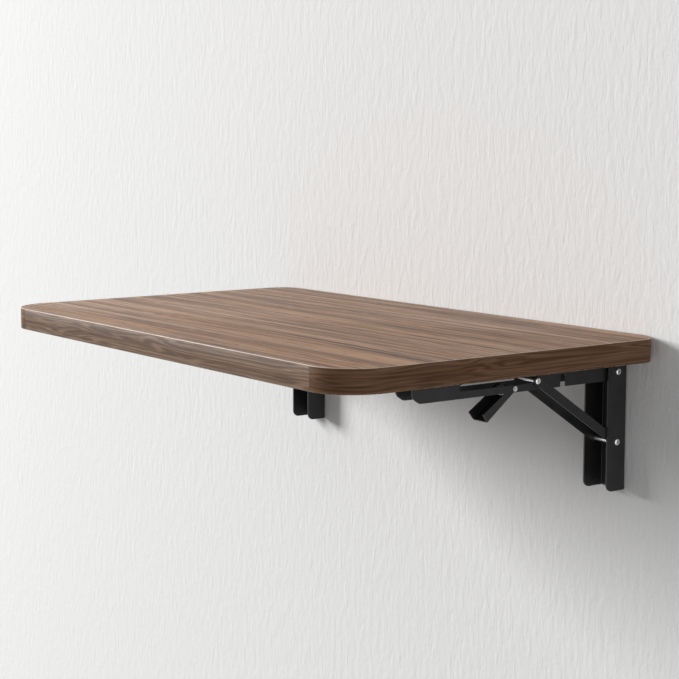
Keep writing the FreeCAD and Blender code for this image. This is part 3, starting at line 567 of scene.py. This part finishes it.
# brackets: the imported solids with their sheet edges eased, so that the edges catch light
sheetMetal = {
    "weld": 0.000002,
    "flat": 0.4,             # degrees between faces that count as one
    "easing": 0.00035,       # width of the broken edge
    "easingSteps": 2,
    "easingAngle": 40.0,     # degrees between faces from which the edge is eased
    "pressedAngle": 40.0,    # degrees between faces that still shade as one
    "turnedAngle": 35.0,
    "pressed": ("wall_leg", "arm", "release_lever", "brace_bar_left", "brace_bar_right"),
    "turned": ("hinge_axle", "foot_axle", "lever_axle", "slide_axle", "brace_rivets",
               "hinge_washers", "foot_sleeve", "lever_spring", "board_screws"),
}


def spoken(node):
    words = node.split("_")
    return words[0] + "".join(word.capitalize() for word in words[1:])


def mergedCopy(node):
    name = spoken(node)
    mesh = nodes[node].data.copy()
    mesh.name = name
    mesh.materials.clear()
    work = bmesh.new()
    work.from_mesh(mesh)
    bmesh.ops.remove_doubles(work, verts=work.verts, dist=sheetMetal["weld"])
    bmesh.ops.dissolve_limit(work, angle_limit=math.radians(sheetMetal["flat"]),
                             verts=work.verts, edges=work.edges)
    work.to_mesh(mesh)
    work.free()
    piece = bpy.data.objects.new(name, mesh)
    bpy.context.scene.collection.objects.link(piece)
    return piece


# map of a turned piece, which the pins' finish uses to paint shade into the heads' dimples: U is the
# distance from its own axis, V the place along it, in metres
def mapFromAxis(piece):
    places = np.zeros(len(piece.data.vertices) * 3)
    piece.data.vertices.foreach_get("co", places)
    places = places.reshape(-1, 3)
    middle = (places.min(axis=0) + places.max(axis=0)) / 2.0
    outward = np.hypot(places[:, 1] - middle[1], places[:, 2] - middle[2])
    addMap(piece, "turned", np.stack([outward, places[:, 0]], axis=1))


def easeEdges(piece):
    bevel = piece.modifiers.new("easedEdges", "BEVEL")
    bevel.width = sheetMetal["easing"]
    bevel.segments = sheetMetal["easingSteps"]
    bevel.limit_method = "ANGLE"
    bevel.angle_limit = math.radians(sheetMetal["easingAngle"])
    bevel.harden_normals = True


def buildBrackets():
    for side in ("left", "right"):
        for kind in sheetMetal["pressed"]:
            piece = mergedCopy(f"{side}_{kind}")
            easeEdges(piece)
            finishPiece(piece, f"{side}_{kind}", sheetMetal["pressedAngle"])
        for kind in sheetMetal["turned"]:
            piece = mergedCopy(f"{side}_{kind}")
            mapFromAxis(piece)
            finishPiece(piece, f"{side}_{kind}", sheetMetal["turnedAngle"])
    print("brackets built")


buildBrackets()


# a node that no piece replaces keeps its shape and takes its finish
def dressCarriedNodes():
    for name, carried in nodes.items():
        if not carried.hide_render:
            carried.data.materials.clear()
            carried.data.materials.append(finishes[slotOf[name]])


dressCarriedNodes()


# the pale plaster wall behind, and plain soft light from the room's left
room = {
    "wallColour": (0.86, 0.858, 0.853),
    "wallRoughness": 0.95,
    "wallGap": 0.0006,       # metres behind the legs
    "wallHalf": 5.0,
    "relief": {"factors": (120.0, 120.0, 38.0), "detail": 4.0, "roughness": 0.62, "distortion": 0.5},
    "reliefStrength": 0.55,
    "reliefDepth": 0.002,
    "white": (1.0, 1.0, 1.0, 1.0),
    "ambient": 0.29,
    "behind": 0.86,          # strength of the world where it is seen, beside the light it gives
    "key": {"place": (-8.7, -5.44, 3.1), "size": 3.6, "power": 1270.0},
    "fill": {"place": (3.4, -0.6, 0.4), "size": 2.4, "power": 20.0},
    "aim": (0.05, -0.15, 0.06),
}


# 1 for the kinds of ray that are named, 0 for the others
def raysOf(tree, *kinds):
    path = addNode(tree, "ShaderNodeLightPath")
    seen = path.outputs[kinds[0]]
    for kind in kinds[1:]:
        seen = mathNode(tree, "MAXIMUM", seen, path.outputs[kind])
    return seen


def buildWall():
    half, y = room["wallHalf"], room["wallGap"]
    corners = np.array([[-half, y, -half], [half, y, -half], [half, y, half], [-half, y, half]])
    wall = newPiece("plasterWall", corners, [[0, 1, 2, 3]])
    material, tree, shader = newMaterial("palePlaster")
    shader.inputs["Base Color"].default_value = (*room["wallColour"], 1.0)
    shader.inputs["Roughness"].default_value = room["wallRoughness"]
    place = addNode(tree, "ShaderNodeTexCoord").outputs["Object"]
    relief = noise(tree, place, **room["relief"])
    bump = addNode(tree, "ShaderNodeBump", {"Strength": room["reliefStrength"],
                                            "Distance": room["reliefDepth"], "Height": relief})
    tree.links.new(bump.outputs[0], shader.inputs["Normal"])
    # the wall shows to the eye and in reflections, from the room only, and takes no light off the table
    seen = raysOf(tree, "Is Camera Ray", "Is Glossy Ray")
    back = addNode(tree, "ShaderNodeNewGeometry").outputs["Backfacing"]
    solid = times(tree, seen, mathNode(tree, "SUBTRACT", 1.0, back))
    clear = addNode(tree, "ShaderNodeBsdfTransparent")
    mix = addNode(tree, "ShaderNodeMixShader", {0: solid, 1: clear.outputs[0], 2: shader.outputs[0]})
    tree.links.new(mix.outputs[0], tree.nodes["Material Output"].inputs["Surface"])
    wall.data.materials.append(material)


# a square lamp turned to face the aim: tilted by its height over the way there, turned by its direction
def addLamp(name, place, size, power):
    data = bpy.data.lights.new(name, "AREA")
    data.size = size
    data.energy = power
    lamp = bpy.data.objects.new(name, data)
    lamp.location = place
    aim = np.array(room["aim"]) - np.array(place)
    flat = math.hypot(aim[0], aim[1])
    lamp.rotation_euler = (math.pi / 2 + math.atan2(aim[2], flat), 0.0, math.atan2(-aim[0], aim[1]))
    bpy.context.scene.collection.objects.link(lamp)


def buildWorld():
    world = bpy.data.worlds.new("room")
    bpy.context.scene.world = world
    world.use_nodes = True
    tree = world.node_tree
    light = tree.nodes["Background"]
    light.inputs["Color"].default_value = room["white"]
    light.inputs["Strength"].default_value = room["ambient"]
    pale = addNode(tree, "ShaderNodeBackground", {"Color": room["white"], "Strength": room["behind"]})
    seen = raysOf(tree, "Is Camera Ray", "Is Glossy Ray", "Is Transmission Ray")
    mix = addNode(tree, "ShaderNodeMixShader", {0: seen, 1: light.outputs[0], 2: pale.outputs[0]})
    tree.links.new(mix.outputs[0], tree.nodes["World Output"].inputs["Surface"])


def buildRoom():
    buildWall()
    for name in ("key", "fill"):
        addLamp(name, **room[name])
    buildWorld()
    print("room built")


buildRoom()
